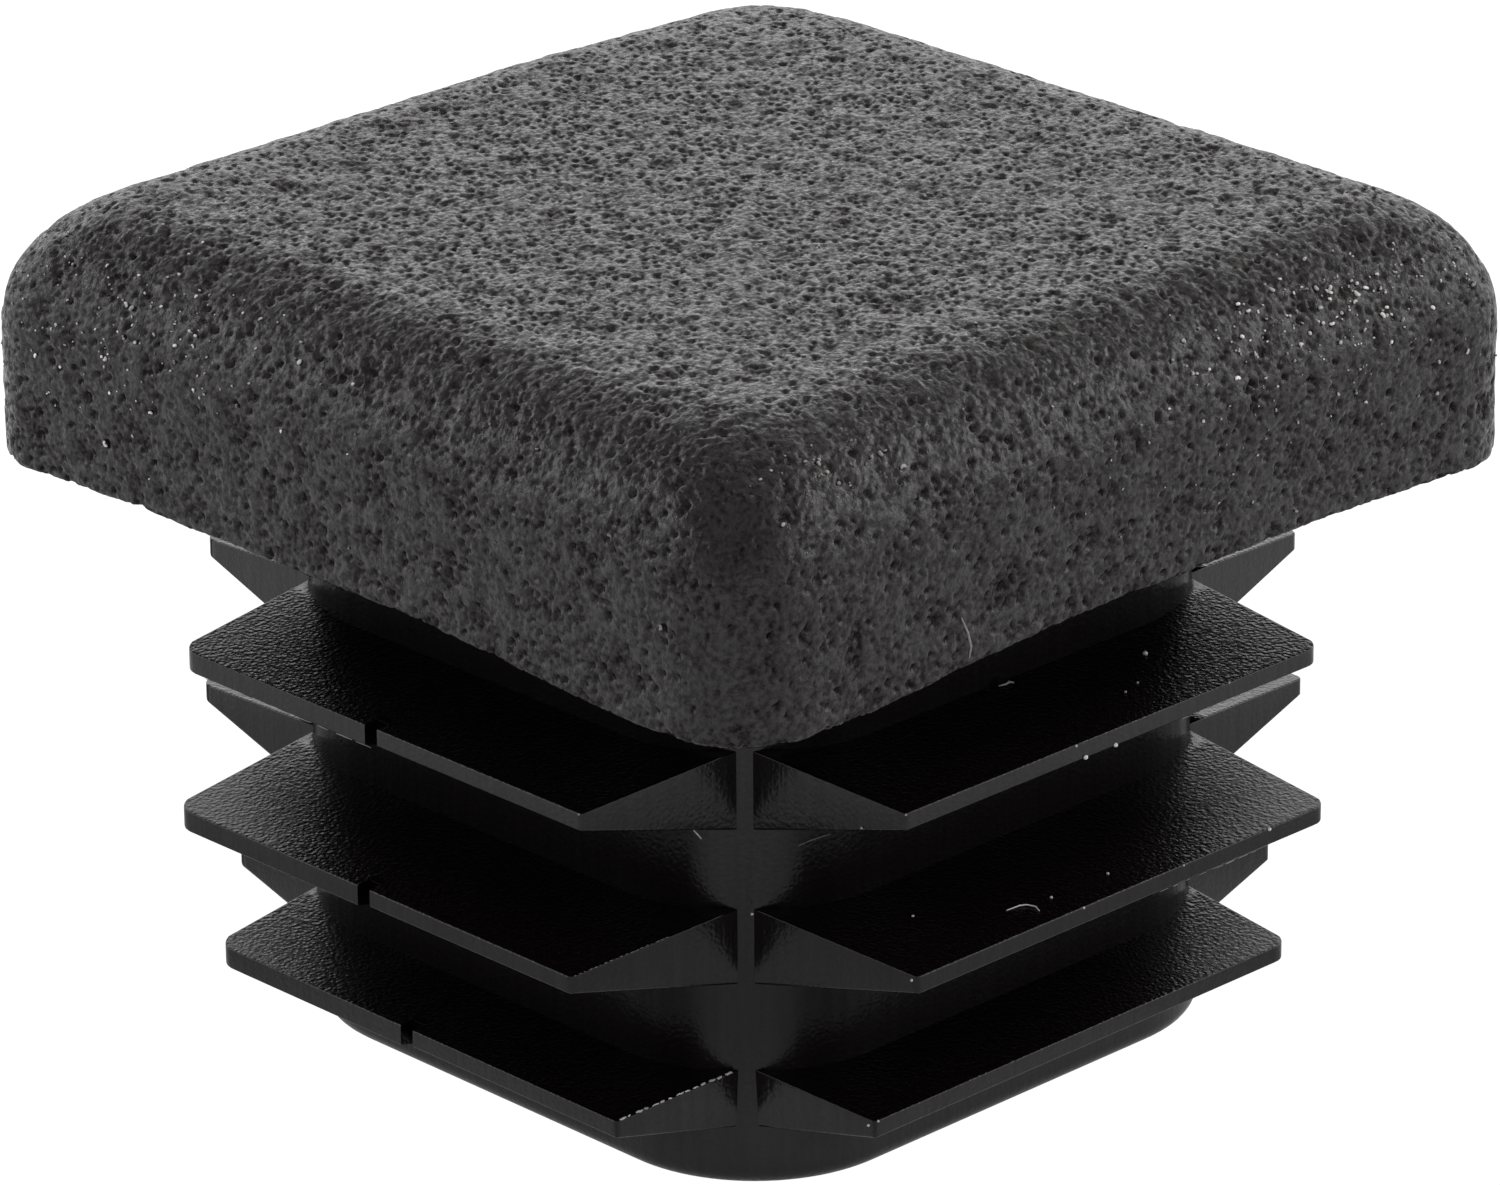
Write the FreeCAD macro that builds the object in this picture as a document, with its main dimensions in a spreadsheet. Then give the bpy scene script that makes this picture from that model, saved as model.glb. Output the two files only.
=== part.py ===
import FreeCAD, Part

import os

import Sketcher
from FreeCAD import Vector

# A square ribbed tube plug, moulded in one piece. A thick head with generously rounded upper
# edges closes the mouth of a square tube, and a hollow square stem with three rows of wedge
# fins on each side grips the tube's inner walls.
# The plug stands on its stem: Z is its axis, Z = 0 is the stem's open end, the head is on top.

# Driving dimensions, in millimetres and degrees
SIZES = (
    ("head_side", 25.0, "outside width of the square tube that the head covers"),
    ("head_height", 6.0, "from the seat on the tube's rim to the top of the head"),
    ("head_corner_radius", 2.1, "upright corners of the head, seen from above"),
    ("head_edge_radius", 2.95, "long round between the sides of the head and its top"),
    ("head_rim_radius", 0.2, "broken lower edge of the sides of the head"),
    ("head_top_thickness", 2.5, "solid plastic between the hollow and the top of the head"),
    ("stem_length", 13.7, "from the open end of the stem to the seat under the head"),
    ("stem_side", 16.4, "outside width of the stem between its fins"),
    ("stem_corner_radius", 3.8, "upright corners of the stem"),
    ("stem_wall", 1.6, "wall of the hollow stem at its open end"),
    ("stem_lead_in", 0.4, "rounded outer edge at the open end of the stem"),
    ("seat_fillet", 0.3, "round between the stem and the seat"),
    ("hollow_draft", 0.75, "draft angle that lets the mould's core pull out of the hollow"),
    ("fin_tip_thickness", 0.4, "upright band at the tip of each fin"),
    ("fin_root_depth", 1.2, "how far the roots of the fins lie behind the flat sides of the stem"),
    ("fin_root_length", 13.96, "length of each fin at its root"),
    ("fin_end_slope", 0.12, "how far each end of a fin draws in for each millimetre outwards"),
    ("slot_width", 0.4, "gap in the tips of the fins on two sides, where the mould was split"),
    ("slot_depth", 0.36, "how far this gap reaches in from the tips"),
    ("slot_offset", 0.25, "from the middle of the fin to the middle of this gap"),
    ("slot_clearance", 0.4, "how far the cut for this gap starts and ends clear of the tips"),
    ("upper_fins_width", 22.74, "across the tips of the row next to the head"),
    ("upper_fins_top", 3.6, "from the seat down to the upper edge of these tips"),
    ("upper_fins_rise", 0.37, "how much higher than its tip such a fin is at its root"),
    ("upper_fins_root", 1.95, "thickness of such a fin at its root"),
    ("middle_fins_width", 23.4, "across the tips of the middle row, the widest one"),
    ("middle_fins_top", 7.35, "from the seat down to the upper edge of these tips"),
    ("middle_fins_rise", 0.38, "how much higher than its tip such a fin is at its root"),
    ("middle_fins_root", 1.9, "thickness of such a fin at its root"),
    ("lower_fins_width", 21.06, "across the tips of the row that enters the tube first"),
    ("lower_fins_top", 11.15, "from the seat down to the upper edge of these tips"),
    ("lower_fins_rise", 0.3, "how much higher than its tip such a fin is at its root"),
    ("lower_fins_root", 1.45, "thickness of such a fin at its root"),
)
FIN_ROWS = ("upper", "middle", "lower")
PLUG_SIDES = 4
WHOLE_TURN = 360
TOLERANCE = 1e-4
START, END, CENTRE = 1, 2, 3
ORIGIN_POINT = (-1, 1)

# Rough first sizes of a sketch, which its dimensions replace as soon as they are set
ROUGH_SIDE = 8.0
ROUGH_CORNER = 1.0
ROUGH_LENGTH = 6.0
ROUGH_LOWER = 5.0
ROUGH_THICKNESS = 1.0

doc = FreeCAD.newDocument("sealing_plug")
sheet = doc.addObject("Spreadsheet::Sheet", "sizes")
for row, (name, value, meaning) in enumerate(SIZES, start=1):
    sheet.set(f"A{row}", name)
    sheet.set(f"B{row}", str(value))
    sheet.set(f"C{row}", meaning)
    sheet.setAlias(f"B{row}", name)
doc.recompute()

body = doc.addObject("PartDesign::Body", "plug")
body.Label = "plug"


def origin_part(role):
    """The body's own origin plane or axis with this role."""
    return next(part for part in body.Origin.OriginFeatures if part.Role == role)


def sketch_on(role, name, offset=None):
    """A sketch on an origin plane, moved along the plane's normal by an expression."""
    sketch = body.newObject("Sketcher::SketchObject", name)
    sketch.AttachmentSupport = [(origin_part(role), "")]
    sketch.MapMode = "FlatFace"
    if offset:
        sketch.setExpression("AttachmentOffset.Base.z", offset)
    return sketch


def drive(sketch, name, expression, constraint):
    """Adds a dimension to a sketch and ties it to the sheet."""
    index = sketch.addConstraint(constraint)
    sketch.renameConstraint(index, name)
    sketch.setExpression(f"Constraints.{name}", expression)


def draw_rounded_square(sketch, side, radius):
    """Four lines and four tangent arcs, centred on the sketch's origin.

    side and radius are expressions. The lines and arcs go round anticlockwise from the lower
    line, and each arc follows the line of the same number.
    """
    half = ROUGH_SIDE / 2
    bend = ROUGH_CORNER
    straight = half - bend
    ends = ((-straight, -half), (straight, -half), (half, -straight), (half, straight),
            (straight, half), (-straight, half), (-half, straight), (-half, -straight))
    centres = ((straight, -straight), (straight, straight), (-straight, straight), (-straight, -straight))
    quarter = FreeCAD.Units.parseQuantity("90 deg").getValueAs("rad").Value
    lines = []
    for number in range(PLUG_SIDES):
        start, end = ends[2 * number], ends[2 * number + 1]
        lines.append(sketch.addGeometry(Part.LineSegment(Vector(*start, 0), Vector(*end, 0))))
    arcs = []
    for number, centre in enumerate(centres):
        circle = Part.Circle(Vector(*centre, 0), Vector(0, 0, 1), bend)
        first = (number - 1) * quarter
        arcs.append(sketch.addGeometry(Part.ArcOfCircle(circle, first, first + quarter)))
    for number, (line, arc) in enumerate(zip(lines, arcs)):
        following = lines[(number + 1) % PLUG_SIDES]
        sketch.addConstraint(Sketcher.Constraint("Tangent", line, END, arc, START))
        sketch.addConstraint(Sketcher.Constraint("Tangent", arc, END, following, START))
        sketch.addConstraint(Sketcher.Constraint(("Horizontal", "Vertical")[number % 2], line))
    for arc in arcs[1:]:
        sketch.addConstraint(Sketcher.Constraint("Equal", arcs[0], arc))
    sketch.addConstraint(Sketcher.Constraint("Symmetric", arcs[0], CENTRE, arcs[2], CENTRE, *ORIGIN_POINT))
    lower, right, upper, left = lines
    drive(sketch, "width", side, Sketcher.Constraint("DistanceX", left, START, right, START, ROUGH_SIDE))
    drive(sketch, "depth", side, Sketcher.Constraint("DistanceY", lower, START, upper, START, ROUGH_SIDE))
    drive(sketch, "corner", radius, Sketcher.Constraint("Radius", arcs[0], bend))


def draw_closed(sketch, points):
    """Lines from point to point, joined at their ends, the last back to the first."""
    lines = []
    for start, end in zip(points, points[1:] + points[:1]):
        lines.append(sketch.addGeometry(Part.LineSegment(Vector(*start, 0), Vector(*end, 0))))
    for line, following in zip(lines, lines[1:] + lines[:1]):
        sketch.addConstraint(Sketcher.Constraint("Coincident", line, END, following, START))
    return lines


def draw_rectangle(sketch, length, right_end, lower, thickness):
    """A rectangle with its right end and its lower side at these distances from the origin.

    All four sizes are expressions.
    """
    rough_end = ROUGH_LENGTH / 2
    rough_upper = ROUGH_LOWER + ROUGH_THICKNESS
    below, right, above, left = draw_closed(sketch, [
        (-rough_end, ROUGH_LOWER), (rough_end, ROUGH_LOWER), (rough_end, rough_upper), (-rough_end, rough_upper)])
    for line in (below, above):
        sketch.addConstraint(Sketcher.Constraint("Horizontal", line))
    for line in (right, left):
        sketch.addConstraint(Sketcher.Constraint("Vertical", line))
    drive(sketch, "length", length, Sketcher.Constraint("DistanceX", below, START, below, END, ROUGH_LENGTH))
    drive(sketch, "right_end", right_end, Sketcher.Constraint("DistanceX", *ORIGIN_POINT, below, END, rough_end))
    drive(sketch, "lower_side", lower, Sketcher.Constraint("DistanceY", *ORIGIN_POINT, below, START, ROUGH_LOWER))
    drive(sketch, "thickness", thickness,
          Sketcher.Constraint("DistanceY", right, START, right, END, ROUGH_THICKNESS))


def round_edges(name, base, radius, chosen):
    """Rounds the edges of base that chosen accepts, to a radius from the sheet."""
    edges = [f"Edge{number}" for number, edge in enumerate(base.Shape.Edges, start=1) if chosen(edge)]
    rounding = body.newObject("PartDesign::Fillet", name)
    rounding.Base = (base, edges)
    rounding.setExpression("Radius", radius)
    doc.recompute()
    return rounding


def repeat_round_axis(name, originals):
    """Repeats features on all sides of the plug."""
    pattern = body.newObject("PartDesign::PolarPattern", name)
    pattern.Originals = originals
    pattern.Axis = (origin_part("Z_Axis"), [""])
    pattern.Angle = WHOLE_TURN
    pattern.Occurrences = PLUG_SIDES
    body.Tip = pattern
    doc.recompute()
    return pattern


def repeat_on_far_side(name, originals):
    """Repeats features on the opposite side of the plug, across its YZ plane."""
    mirror = body.newObject("PartDesign::Mirrored", name)
    mirror.Originals = originals
    mirror.MirrorPlane = (origin_part("YZ_Plane"), [""])
    body.Tip = mirror
    doc.recompute()
    return mirror


def lies_at(edge, height):
    """True for an edge that lies flat at this height."""
    return abs(edge.BoundBox.ZMin - height) < TOLERANCE and abs(edge.BoundBox.ZMax - height) < TOLERANCE


def reach(edge):
    """How far an edge reaches from the axis, along X or Y."""
    box = edge.BoundBox
    return max(abs(box.XMin), abs(box.XMax), abs(box.YMin), abs(box.YMax))


# The stem, a square column with large corner radii
stem_outline = sketch_on("XY_Plane", "stem_outline")
draw_rounded_square(stem_outline, "sizes.stem_side", "sizes.stem_corner_radius")
stem = body.newObject("PartDesign::Pad", "stem")
stem.Profile = stem_outline
stem.setExpression("Length", "sizes.stem_length")
doc.recompute()

# The head, a thick square slab that stands out all round and so forms the seat
head_outline = sketch_on("XY_Plane", "head_outline", "sizes.stem_length")
draw_rounded_square(head_outline, "sizes.head_side", "sizes.head_corner_radius")
head = body.newObject("PartDesign::Pad", "head")
head.Profile = head_outline
head.setExpression("Length", "sizes.head_height")
doc.recompute()

# The long round over the upper edges of the head, wider than the upright corners allow for a
# plain turn, so that it closes in a soft mitre at each corner, and the small rounds of the mould
seat_height = sheet.stem_length
stem_reach = sheet.stem_side / 2
head_reach = sheet.head_side / 2
top_round = round_edges(
    "top_round", head, "sizes.head_edge_radius",
    lambda edge: lies_at(edge, seat_height + sheet.head_height))
rim_round = round_edges(
    "rim_round", top_round, "sizes.head_rim_radius",
    lambda edge: lies_at(edge, seat_height) and reach(edge) > stem_reach + TOLERANCE)
seat_round = round_edges(
    "seat_round", rim_round, "sizes.seat_fillet",
    lambda edge: lies_at(edge, seat_height) and reach(edge) < stem_reach + TOLERANCE)
lead_in = round_edges("lead_in", seat_round, "sizes.stem_lead_in", lambda edge: lies_at(edge, 0))

# The fins: each is a wedge drawn from a tall section behind the side of the stem out to the
# thin band at its tip, so its top stays nearly level, its underside climbs outwards and its
# ends draw in. The ends of all three rows lie in the same four planes.
fins = []
for row in FIN_ROWS:
    tip = f"(sizes.{row}_fins_width / 2)"
    root = "(sizes.stem_side / 2 - sizes.fin_root_depth)"
    tip_top = f"(sizes.stem_length - sizes.{row}_fins_top)"
    tip_length = f"(sizes.fin_root_length - 2 * sizes.fin_end_slope * ({tip} - {root}))"
    root_section = sketch_on("YZ_Plane", f"{row}_fin_root", root)
    draw_rectangle(root_section, "sizes.fin_root_length", "sizes.fin_root_length / 2",
                   f"{tip_top} + sizes.{row}_fins_rise - sizes.{row}_fins_root",
                   f"sizes.{row}_fins_root")
    tip_section = sketch_on("YZ_Plane", f"{row}_fin_tip", tip)
    draw_rectangle(tip_section, tip_length, f"{tip_length} / 2",
                   f"{tip_top} - sizes.fin_tip_thickness", "sizes.fin_tip_thickness")
    doc.recompute()
    fin = body.newObject("PartDesign::AdditiveLoft", f"{row}_fin")
    fin.Profile = root_section
    fin.Sections = [tip_section]
    fin.Ruled = True
    doc.recompute()
    fins.append(fin)
all_fins = repeat_round_axis("all_fins", fins)

# Where the two halves of the mould met, the tips of the fins on two opposite sides have a gap
slots = []
for row in FIN_ROWS:
    slot_outline = sketch_on(
        "XY_Plane", f"{row}_slot_outline", f"sizes.stem_length - sizes.{row}_fins_top + sizes.slot_clearance")
    draw_rectangle(slot_outline, "sizes.slot_depth + sizes.slot_clearance",
                   f"sizes.{row}_fins_width / 2 + sizes.slot_clearance",
                   "sizes.slot_offset - sizes.slot_width / 2", "sizes.slot_width")
    slot = body.newObject("PartDesign::Pocket", f"{row}_slot")
    slot.Profile = slot_outline
    slot.setExpression("Length", "sizes.fin_tip_thickness + 2 * sizes.slot_clearance")
    doc.recompute()
    slots.append(slot)
all_slots = repeat_on_far_side("all_slots", slots)

# The hollow runs up the stem and into the head, and narrows upwards by its draft
hollow_outline = sketch_on("XY_Plane", "hollow_outline")
draw_rounded_square(hollow_outline, "sizes.stem_side - 2 * sizes.stem_wall",
                    "sizes.stem_corner_radius - sizes.stem_wall")
hollow = body.newObject("PartDesign::Pocket", "hollow")
hollow.Profile = hollow_outline
hollow.Reversed = True
hollow.setExpression("Length", "sizes.stem_length + sizes.head_height - sizes.head_top_thickness")
hollow.setExpression("TaperAngle", "-sizes.hollow_draft")
doc.recompute()
body.Tip = hollow
doc.recompute()

failed = [part.Name for part in doc.Objects if "Invalid" in part.State or "Error" in part.State]
if failed:
    raise RuntimeError(f"objects that did not recompute: {failed}")
if body.Shape.isNull() or not body.Shape.isValid() or len(body.Shape.Solids) != 1:
    raise RuntimeError("the plug is not one valid solid")
if not hollow.Shape.Volume < all_slots.Shape.Volume < all_fins.Shape.Volume:
    raise RuntimeError("the hollow or the gaps in the fins took nothing away")

os.makedirs("parts", exist_ok=True)
body.Shape.exportStep(f"parts/{body.Label}.step")
box = body.Shape.BoundBox
print(f"{body.Label}: {box.XLength:.2f} x {box.YLength:.2f} x {box.ZLength:.2f} mm, "
      f"{body.Shape.Volume:.1f} cubic mm, {len(body.Shape.Faces)} faces")
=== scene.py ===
# %% [markdown]
# # A ribbed plug for the end of a square tube
# The real plug is one shot of black plastic: a cushion-shaped head with a spark-eroded
# grain, and under it a hollow stem with three rows of wedge fins that grip the tube.
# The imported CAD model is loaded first. It is the fixed frame: it gives the size and the
# place of everything, and the pieces made below only dress it.

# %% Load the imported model
import math

import bpy
import numpy as np
from mathutils import Matrix, Vector


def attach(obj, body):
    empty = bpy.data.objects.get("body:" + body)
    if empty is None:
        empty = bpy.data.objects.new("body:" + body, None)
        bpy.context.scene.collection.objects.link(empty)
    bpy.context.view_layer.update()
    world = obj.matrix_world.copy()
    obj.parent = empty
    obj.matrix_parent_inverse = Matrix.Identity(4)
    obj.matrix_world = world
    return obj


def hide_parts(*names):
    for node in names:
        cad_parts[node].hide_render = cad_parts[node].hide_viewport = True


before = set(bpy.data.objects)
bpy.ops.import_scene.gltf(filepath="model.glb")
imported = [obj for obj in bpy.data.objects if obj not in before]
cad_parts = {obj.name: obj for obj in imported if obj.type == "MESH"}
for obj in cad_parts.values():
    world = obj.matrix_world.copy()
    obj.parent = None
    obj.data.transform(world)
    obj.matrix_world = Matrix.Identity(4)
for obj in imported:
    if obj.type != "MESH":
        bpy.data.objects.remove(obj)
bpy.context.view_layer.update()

# %% [markdown]
# ## The measures
# Everything below is worked out in millimetres, because the plug is small, and divided by
# a thousand on its way into a mesh. The numbers are the ones that the CAD model was drawn
# with. Z is up, zero is the open end of the stem, and the four sides face -X, -Y, +X, +Y.

# %% Measures in millimetres
HEAD_HALF = 12.5
HEAD_TOP = 19.7
SEAT = 13.7
HEAD_CORNER = 2.1
TOP_ROUND = 2.95
RIM_ROUND = 0.2
STEM_HALF = 8.2
STEM_CORNER = 3.8
WALL = 1.6
ROOF = 17.2
DRAFT = math.tan(math.radians(0.75))
FIN_ROWS = {
    "upper": {"reach": 11.37, "top": 10.10, "rise": 0.27, "drop": 0.86},
    "middle": {"reach": 11.70, "top": 6.35, "rise": 0.28, "drop": 0.83},
    "lower": {"reach": 10.53, "top": 2.55, "rise": 0.20, "drop": 0.50},
}
INNER_CORNER = 2.2
FIN_TIP = 0.40
FIN_ROOT_DEPTH = 7.0
FIN_ROOT_HALF = 6.98
# how far each end of a fin draws in for each mm outwards, for the sides -Y, +X, +Y and -X
FIN_END_SLOPES = ((0.12, 0.055), (0.12, 0.12), (0.12, 0.075), (0.075, 0.12))
CELLS = 444
print("cells along one side of the head:", CELLS)

# %% [markdown]
# ## The camera
# The photograph was taken with a long lens from about eight widths of the head away, a
# little above the head and looking at one corner. The camera is put at the same place: its
# direction comes from two angles, its distance from how little the far sides shrink, and a
# lens of about 207 mm fills the frame.

# %% Camera
def look_at_plug(azimuth, elevation, roll, distance, aim_right, aim_up):
    """Camera matrix: back is the unit vector of the two angles, right is level and square
    to it, up is their cross product, and roll turns right and up about back."""
    turn, lift, lean = (math.radians(value) for value in (azimuth, elevation, roll))
    level_part = math.cos(lift)
    back = Vector((-math.sin(turn) * level_part, -math.cos(turn) * level_part, math.sin(lift)))
    right = Vector((math.cos(turn), -math.sin(turn), 0.0))
    up = back.cross(right)
    level_right = math.cos(lean) * right + math.sin(lean) * up
    level_up = -math.sin(lean) * right + math.cos(lean) * up
    spot = right * aim_right + Vector((0.0, 0.0, aim_up)) + back * distance
    columns = (level_right, level_up, back, spot)
    rows = [[column[row] for column in columns] for row in range(3)]
    return Matrix(rows + [[0.0, 0.0, 0.0, 1.0]])


lens = bpy.data.cameras.new("long_lens")
lens.sensor_fit = "HORIZONTAL"
lens.sensor_width = 36.0
lens.lens = 207.19
lens.clip_start = 0.01
lens.clip_end = 5.0
camera = bpy.data.objects.new("camera", lens)
camera.matrix_world = look_at_plug(
    azimuth=44.157,
    elevation=22.327,
    roll=-0.398,
    distance=0.196157,
    aim_right=-0.000006,
    aim_up=0.010044,
)
bpy.context.scene.collection.objects.link(camera)
bpy.context.scene.camera = camera
print("camera at", [round(value, 4) for value in camera.location])

# %% [markdown]
# ## Finishes as sums
# A finish is a net of nodes, and a net drawn by hand is hard to read again. So a small
# class wraps one socket and lets Python's own signs add the Math nodes, and one method adds
# a node of any other kind.


# %% Node helper
class Wire:
    """A socket that can be used in a Python expression: each operator adds a Math node."""

    def __init__(self, tree, socket):
        self.tree = tree
        self.socket = socket

    def math(self, operation, first, second=None):
        node = self.tree.nodes.new("ShaderNodeMath")
        node.operation = operation
        for index, value in enumerate((first, second)):
            if isinstance(value, Wire):
                self.tree.links.new(value.socket, node.inputs[index])
            elif value is not None:
                node.inputs[index].default_value = value
        return Wire(self.tree, node.outputs[0])

    def __add__(self, other):
        return self.math("ADD", self, other)

    __radd__ = __add__

    def __mul__(self, other):
        return self.math("MULTIPLY", self, other)

    __rmul__ = __mul__

    def __sub__(self, other):
        return self.math("SUBTRACT", self, other)

    def __rsub__(self, other):
        return self.math("SUBTRACT", other, self)

    def __pow__(self, other):
        return self.math("POWER", self, other)

    def smaller(self, other):
        return self.math("MINIMUM", self, other)

    def larger(self, other):
        return self.math("MAXIMUM", self, other)

    def between(self, low, high):
        """0 below low, 1 above high, straight in between; high may be the smaller one."""
        share = self.math("MULTIPLY_ADD", self, 1.0 / (high - low))
        share.socket.node.inputs[2].default_value = -low / (high - low)
        share.socket.node.use_clamp = True
        return share


class Nodes:
    """The nodes of one material or world."""

    def __init__(self, owner):
        owner.use_nodes = True
        self.name = owner.name
        self.tree = owner.node_tree
        self.tree.nodes.clear()

    def add(self, kind, settings=None, values=None, output=0):
        """A node of a kind: its settings first, then its sockets, by name or by number."""
        node = self.tree.nodes.new(kind)
        for name, value in (settings or {}).items():
            setattr(node, name, value)
        for name, value in (values or {}).items():
            socket = node.inputs[name]
            if isinstance(value, Wire):
                self.tree.links.new(value.socket, socket)
            else:
                socket.default_value = value
        return Wire(self.tree, node.outputs[output])

    def show(self, kind, shader):
        """The output node, fed by a shader."""
        end = self.tree.nodes.new(kind)
        self.tree.links.new(shader.socket, end.inputs["Surface"])
        print(self.name, "has", len(self.tree.nodes), "nodes")


# %% [markdown]
# ## A white room
# Black plastic shows what stands round it. Its colour is nearly nothing, and what is seen
# is a pale room mirrored in it, weakly where it is looked at straight on and strongly
# where it is looked at along the surface. So the light is a white room, which could be
# four walls with lamps, but a world needs no walls: it is brighter behind the plug, at the
# right and in a band at each side, and the eye itself sees plain white.

# %% White room
room = bpy.data.worlds.new("white_room")
bpy.context.scene.world = room
sky = Nodes(room)
direction = sky.add("ShaderNodeTexCoord", output="Generated")
parts = [sky.add("ShaderNodeSeparateXYZ", values={0: direction}, output=axis) for axis in "XYZ"]
away = (parts[0] + parts[1]) * 0.7071
wall_share = 1.0 - parts[2].between(0.40, 0.80)
right_panel = (parts[0] * 0.62 - parts[1] * 0.64 + parts[2] * 0.45).between(0.60, 1.00)
beside = away.between(-0.60, -0.30) * away.between(0.70, 0.30)
side_band = beside * parts[2].between(0.0, 0.10) * parts[2].between(0.50, 0.30)
back_wall = away.between(-0.3, 0.75) * wall_share
room_level = 0.56 + 1.36 * back_wall + 0.42 * right_panel + 0.80 * side_band
RAYS = "ShaderNodeLightPath"
WHITE = (1.0, 1.0, 1.0, 1.0)
seen = sky.add(RAYS, output="Is Camera Ray")
shade = sky.add("ShaderNodeBackground", values={"Color": WHITE, "Strength": room_level})
plain = sky.add("ShaderNodeBackground", values={"Color": WHITE, "Strength": 1.0})
mixed = sky.add("ShaderNodeMixShader", values={0: seen, 1: shade, 2: plain})
sky.show("ShaderNodeOutputWorld", mixed)
bpy.context.scene.view_settings.view_transform = "Standard"

# %% [markdown]
# ## The white card
# The real plug stands on white card, and its fins mirror the card more than the room. Plain
# white paint alone would turn grey wherever the plug shades it. So the card glows a little
# for the eye and for mirrors, and the rest of it is paint, which keeps the plug's shadow.
# Its paint is darker in a ring round the plug and towards the front, which is painted shade, and the glow
# that mirrors see is stronger near the foot and farther out, which is painted light. Both are matched to
# what the real fins and stem mirror.


# %% Table under the plug
def table_finish():
    """White card: mostly its own white for the eye and for mirrors, with a share that takes
    the shadow of the plug."""
    card = bpy.data.materials.new("white_card")
    nodes = Nodes(card)
    spot = nodes.add("ShaderNodeTexCoord", output="Object")
    x, y = (nodes.add("ShaderNodeSeparateXYZ", values={0: spot}, output=axis) for axis in "XY")
    away = (x * x + y * y) ** 0.5
    # painted shade: the card's paint is darker in a ring round the plug and towards the front
    ring = away.between(0.013, 0.018) * away.between(0.031, 0.026)
    front_shade = (x * -1.0 - y).between(0.026, 0.040)
    card_paint_with_shade = (0.97 - ring * 0.34).smaller(0.97 - front_shade * 0.24)
    eye = nodes.add(RAYS, output="Is Camera Ray")
    mirror = nodes.add(RAYS, output="Is Glossy Ray")
    glass = nodes.add(RAYS, output="Is Transmission Ray")
    # painted light: the glow share that mirrors see rises near the foot and farther out
    mirror_glow_with_painted_light = 0.12 + away.between(0.018, 0.013) * 0.30 + away.between(0.028, 0.034) * 0.28
    share = (eye * 0.85).larger(mirror * mirror_glow_with_painted_light).larger(glass * mirror_glow_with_painted_light)
    card_white = nodes.add("ShaderNodeBsdfDiffuse", values={"Color": card_paint_with_shade})
    glow = nodes.add("ShaderNodeEmission", values={"Color": WHITE, "Strength": 1.18})
    both = nodes.add("ShaderNodeMixShader", values={0: share, 1: card_white, 2: glow})
    nodes.show("ShaderNodeOutputMaterial", both)
    return card


TABLE_HALF = 0.6
table_mesh = bpy.data.meshes.new("table")
corners = [(x * TABLE_HALF, y * TABLE_HALF, 0) for x, y in ((-1, -1), (1, -1), (1, 1), (-1, 1))]
table_mesh.from_pydata(corners, [], [(0, 1, 2, 3)])
table_mesh.materials.append(table_finish())
table = bpy.data.objects.new("table", table_mesh)
bpy.context.scene.collection.objects.link(table)

# %% [markdown]
# ## Three small lamps
# Single pits sparkle on the shoulders of the real head. A broad lamp would lay a band of sheen there, so
# three small weak lamps light them: one at the right, one at the left and one above, all a little behind
# the plug. Most of the sparkle is painted glints among the marks further down.

# %% Small lamps for the sparkle
LAMP_DISTANCE = 0.5
LAMP_SIZE = 0.03


def lamp(name, toward, power):
    """Square lamp on the line that leaves the plug along toward, facing back at it."""
    light = bpy.data.lights.new(name, "AREA")
    light.size = LAMP_SIZE
    light.energy = power
    holder = bpy.data.objects.new(name, light)
    line = Vector(toward).normalized()
    holder.location = Vector((0.0, 0.0, 0.012)) + line * LAMP_DISTANCE
    holder.rotation_mode = "QUATERNION"
    holder.rotation_quaternion = line.to_track_quat("Z", "Y")
    bpy.context.scene.collection.objects.link(holder)
    print(name, "gives", power, "watts")


lamp("right_lamp", (0.75, -0.38, 0.54), 0.12)
lamp("left_lamp", (-0.50, 0.72, 0.48), 0.07)
lamp("top_lamp", (0.22, 0.05, 0.97), 0.08)

# %% [markdown]
# ## The grain of the mould
# The mould's face was eaten by sparks, which leaves a skin of small hollows of all shapes
# between narrow ridges, over slow waves. A bump map alone would leave the outline of the
# head straight, and the outline in the photograph is rough, so the grain is put into the
# mesh. A random point stands in each cell of a cubic lattice, and adds a bell curve of its
# distance to a field. Four such fields, from 0.85 to 0.13 mm between points, make waves,
# dips and two sets of pits. The height is known at any place in space, so pieces that meet
# have the same grain at their seam.


# %% Grain in space
def lattice_random(cell, salt):
    """A number from 0 to 1 for each whole-number cell: the three coordinates are mixed by
    large odd factors, and the bits are folded over one another."""
    mixed = cell.astype(np.uint32) * np.array([73856093, 19349663, 83492791], np.uint32)
    bits = mixed[:, 0] ^ mixed[:, 1] ^ mixed[:, 2] ^ np.uint32(salt * 374761393 % 2**32)
    bits = (bits ^ (bits >> np.uint32(13))) * np.uint32(1274126177)
    bits = (bits ^ (bits >> np.uint32(15))) * np.uint32(2246822519)
    return (bits ^ (bits >> np.uint32(16))).astype(np.float64) / 2.0**32


def bells(points, pitch, width, salt, low, high):
    """Sum over the random points near each place of strength times
    exp(-distance squared / width squared), and the slope of that sum."""
    total = np.zeros(len(points))
    slope = np.zeros(points.shape)
    home = np.floor(points / pitch).astype(np.int64)
    for step in np.ndindex(3, 3, 3):
        cell = home + np.array(step) - 1
        away = [lattice_random(cell, salt + axis) for axis in range(3)]
        offset = points - (cell + np.stack(away, axis=1)) * pitch
        strength = low + (high - low) * lattice_random(cell, salt + 3)
        bell = strength * np.exp(-(offset**2).sum(axis=1) / width**2)
        total += bell
        slope += bell[:, None] * offset * (-2.0 / width**2)
    return total, slope


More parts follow.
